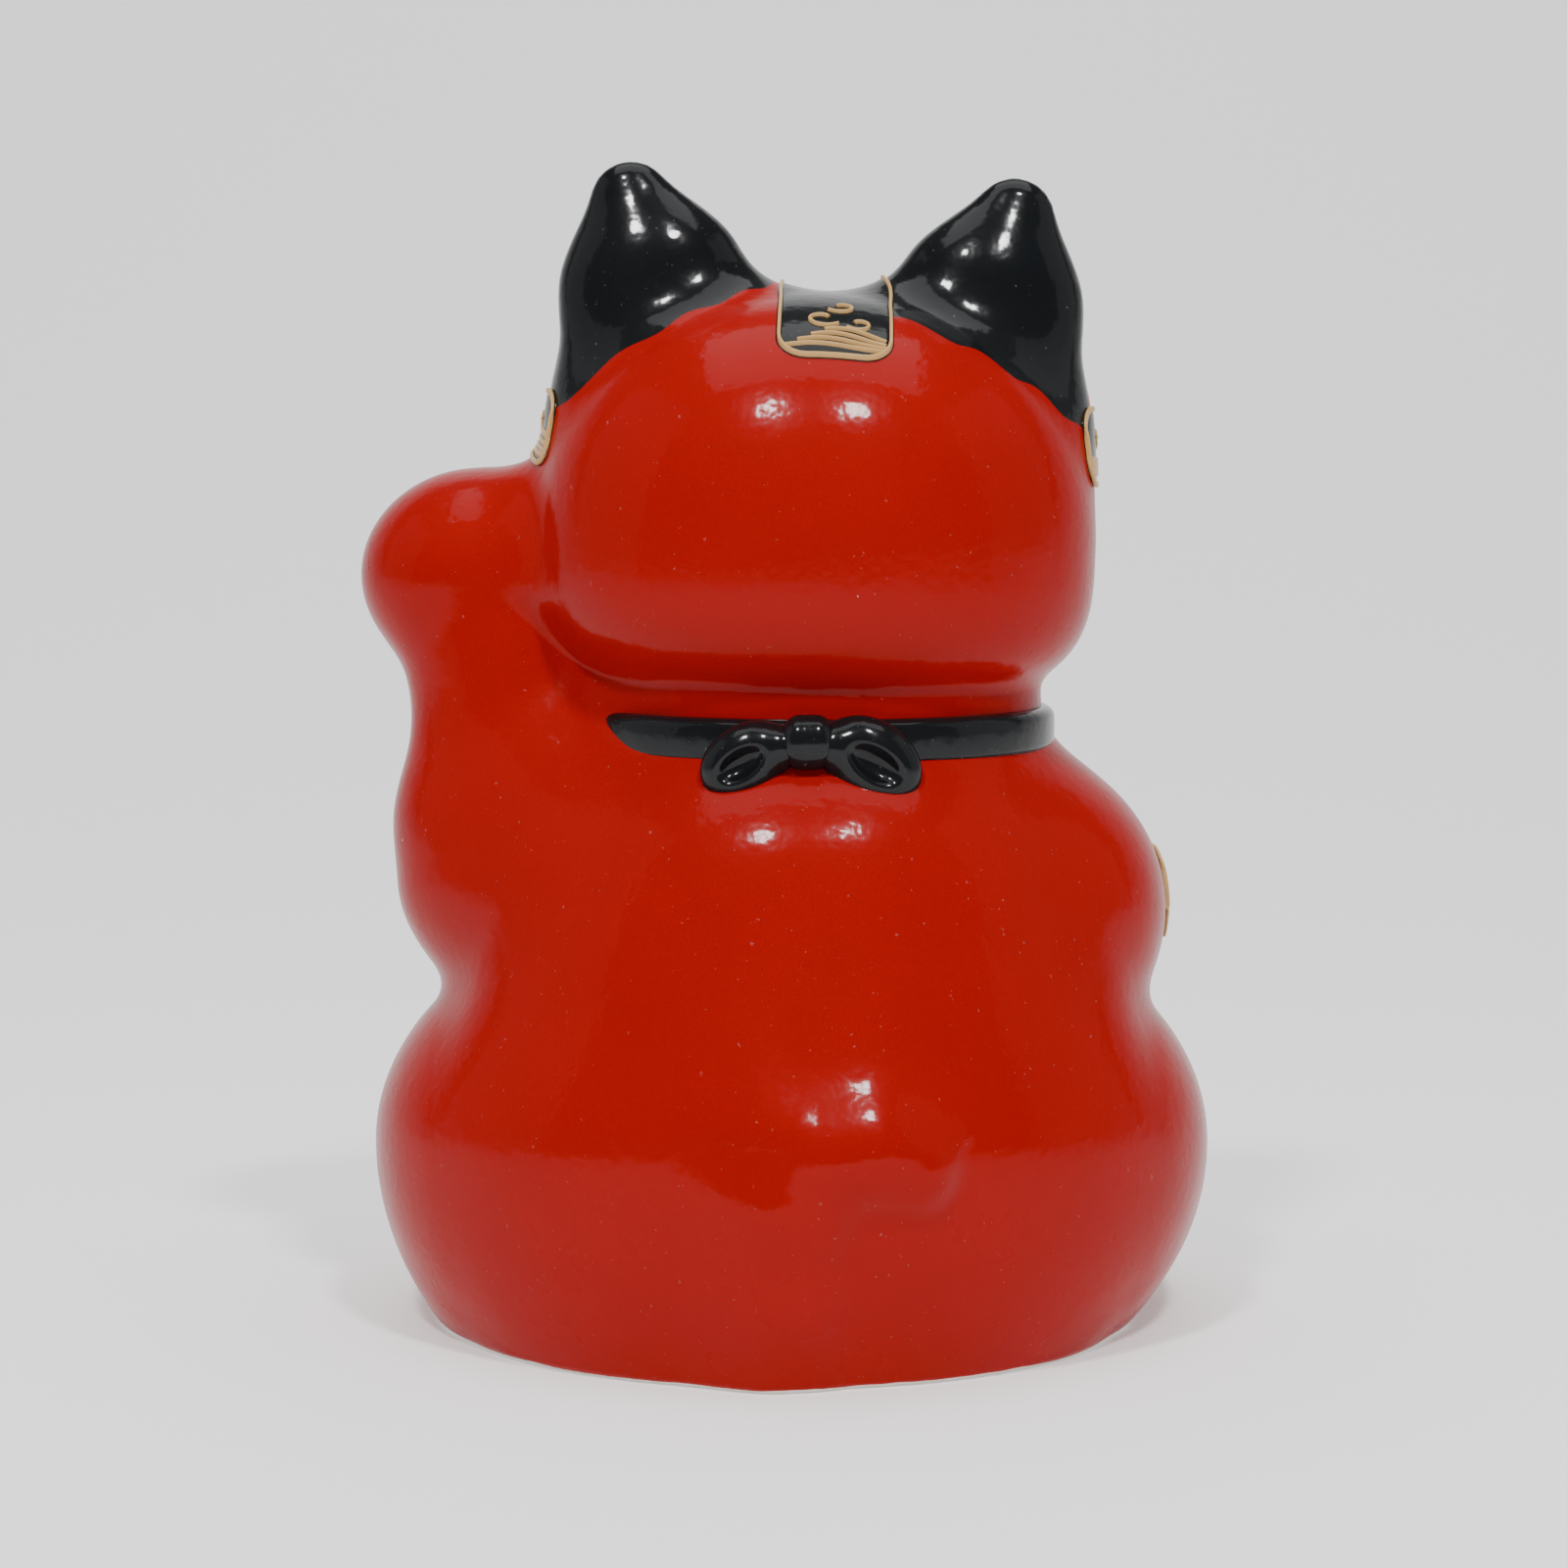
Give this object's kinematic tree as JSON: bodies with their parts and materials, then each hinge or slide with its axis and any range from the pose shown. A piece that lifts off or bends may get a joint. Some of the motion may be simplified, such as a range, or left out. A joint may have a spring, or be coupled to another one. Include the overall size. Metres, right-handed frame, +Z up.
{
  "type": "beckoning cat figurine",
  "caption": "Seated porcelain cat figurine in glossy red, left paw raised against the cheek, black ears, collar and bow, gold bell and raised enamel patches.",
  "frame": {"origin": "centre of the foot's oval, on the table", "axes": "+Z up, the cat faces -Y, its raised left paw is on +X"},
  "size_m": [0.09, 0.0822, 0.1201],
  "materials": {
    "red_glaze": "high-gloss red glaze over white porcelain",
    "black_glaze": "high-gloss black glaze over white porcelain",
    "bare_clay": "unglazed fired clay, matt",
    "gold_lustre": "gold lustre over glaze",
    "patch_enamel": "raised black enamel outlined in fine gold-beige lines"
  },
  "bodies": {
    "root": {"torso": "red_glaze", "base_disc": "bare_clay", "head": "red_glaze", "left_ear": "black_glaze", "right_ear": "black_glaze", "raised_arm": "red_glaze", "lowered_arm": "red_glaze", "left_foot": "red_glaze", "right_foot": "red_glaze", "tail": "red_glaze", "collar": "black_glaze", "bow_knot": "black_glaze", "left_bow_loop": "black_glaze", "right_bow_loop": "black_glaze", "bell": "gold_lustre", "crown_patch": "patch_enamel", "left_cheek_patch": "patch_enamel", "right_cheek_patch": "patch_enamel", "arm_patch": "patch_enamel"}
  },
  "joints": []
}
